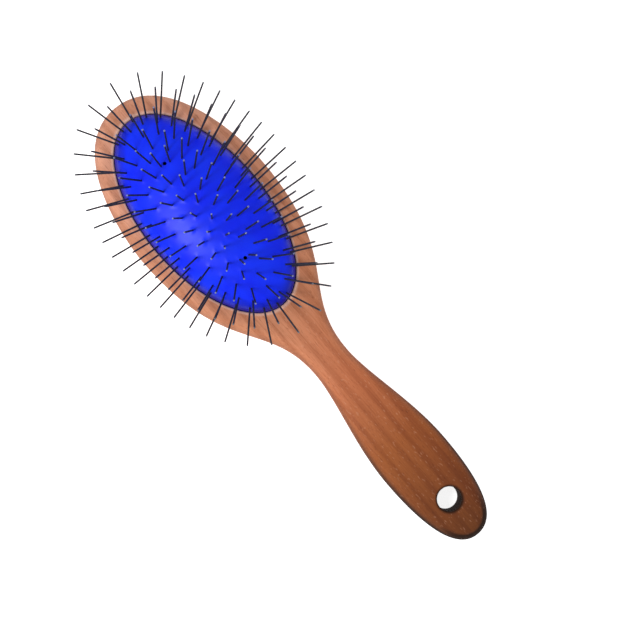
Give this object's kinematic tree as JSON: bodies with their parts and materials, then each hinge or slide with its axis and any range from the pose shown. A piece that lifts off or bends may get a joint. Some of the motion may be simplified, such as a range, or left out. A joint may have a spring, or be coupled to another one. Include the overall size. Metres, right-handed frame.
{
  "type": "oval pin brush",
  "caption": "Pet grooming brush: wooden paddle with an oval domed rubber air cushion of long straight steel pins, and a hanging hole in the handle.",
  "frame": {"origin": "on the flat back face of the wooden body, straight below the middle of the cushion", "axes": "+Y from the handle to the head along the brush, +Z out of the board's face along the middle pins, +X across the brush"},
  "size_m": [0.0854, 0.2471, 0.0495],
  "materials": {
    "wood": "satin oil over a fine straight grain",
    "rubber": "smooth, soft sheen",
    "cloth": "plain weave, matt",
    "pin_steel": "polished"
  },
  "bodies": {
    "paddle": {"wooden_body": "wood", "rubber_cushion": "rubber", "backing_cloth": "cloth"},
    "centre_row": {"centre_row_pins_01": "pin_steel", "centre_row_pins_02": "pin_steel"},
    "fifth_row": {"fifth_row_pins_01": "pin_steel", "fifth_row_pins_02": "pin_steel", "fifth_row_pins_03": "pin_steel", "fifth_row_pins_04": "pin_steel", "fifth_row_pins_05": "pin_steel", "fifth_row_pins_06": "pin_steel", "fifth_row_pins_07": "pin_steel"},
    "fourth_row": {"fourth_row_pins_01": "pin_steel", "fourth_row_pins_02": "pin_steel", "fourth_row_pins_03": "pin_steel", "fourth_row_pins_04": "pin_steel", "fourth_row_pins_05": "pin_steel", "fourth_row_pins_06": "pin_steel", "fourth_row_pins_07": "pin_steel", "fourth_row_pins_08": "pin_steel", "fourth_row_pins_09": "pin_steel", "fourth_row_pins_10": "pin_steel", "fourth_row_pins_11": "pin_steel"},
    "third_row": {"third_row_pins_01": "pin_steel", "third_row_pins_02": "pin_steel", "third_row_pins_03": "pin_steel", "third_row_pins_04": "pin_steel", "third_row_pins_05": "pin_steel", "third_row_pins_06": "pin_steel", "third_row_pins_07": "pin_steel"},
    "second_row": {"second_row_pins_01": "pin_steel", "second_row_pins_02": "pin_steel", "second_row_pins_03": "pin_steel", "second_row_pins_04": "pin_steel", "second_row_pins_05": "pin_steel", "second_row_pins_06": "pin_steel", "second_row_pins_07": "pin_steel", "second_row_pins_08": "pin_steel", "second_row_pins_09": "pin_steel"},
    "outer_row": {"outer_row_pins_01": "pin_steel", "outer_row_pins_02": "pin_steel", "outer_row_pins_03": "pin_steel", "outer_row_pins_04": "pin_steel", "outer_row_pins_05": "pin_steel", "outer_row_pins_06": "pin_steel", "outer_row_pins_07": "pin_steel", "outer_row_pins_08": "pin_steel", "outer_row_pins_09": "pin_steel", "outer_row_pins_10": "pin_steel", "outer_row_pins_11": "pin_steel", "outer_row_pins_12": "pin_steel", "outer_row_pins_13": "pin_steel", "outer_row_pins_14": "pin_steel", "outer_row_pins_15": "pin_steel", "outer_row_pins_16": "pin_steel", "outer_row_pins_17": "pin_steel", "outer_row_pins_18": "pin_steel", "outer_row_pins_19": "pin_steel", "outer_row_pins_20": "pin_steel"}
  },
  "joints": [
    {"name": "centre_row_press", "type": "slide", "parent": "paddle", "child": "centre_row", "axis": [0, 0, -1], "range_m": [0, 0.004], "stiffness_N_per_m": 4000, "deforming": ["rubber_cushion", "backing_cloth"]},
    {"name": "fifth_row_press", "type": "slide", "parent": "paddle", "child": "fifth_row", "axis": [0, 0, -1], "range_m": [0, 0.00369]},
    {"name": "fourth_row_press", "type": "slide", "parent": "paddle", "child": "fourth_row", "axis": [0, 0, -1], "range_m": [0, 0.00343]},
    {"name": "third_row_press", "type": "slide", "parent": "paddle", "child": "third_row", "axis": [0, 0, -1], "range_m": [0, 0.00286]},
    {"name": "second_row_press", "type": "slide", "parent": "paddle", "child": "second_row", "axis": [0, 0, -1], "range_m": [0, 0.00206]},
    {"name": "outer_row_press", "type": "slide", "parent": "paddle", "child": "outer_row", "axis": [0, 0, -1], "range_m": [0, 0.00129]}
  ],
  "couplings": [
    {"joint": "fifth_row_press", "follows": "centre_row_press", "ratio": 0.923},
    {"joint": "fourth_row_press", "follows": "centre_row_press", "ratio": 0.858},
    {"joint": "third_row_press", "follows": "centre_row_press", "ratio": 0.714},
    {"joint": "second_row_press", "follows": "centre_row_press", "ratio": 0.514},
    {"joint": "outer_row_press", "follows": "centre_row_press", "ratio": 0.322}
  ]
}
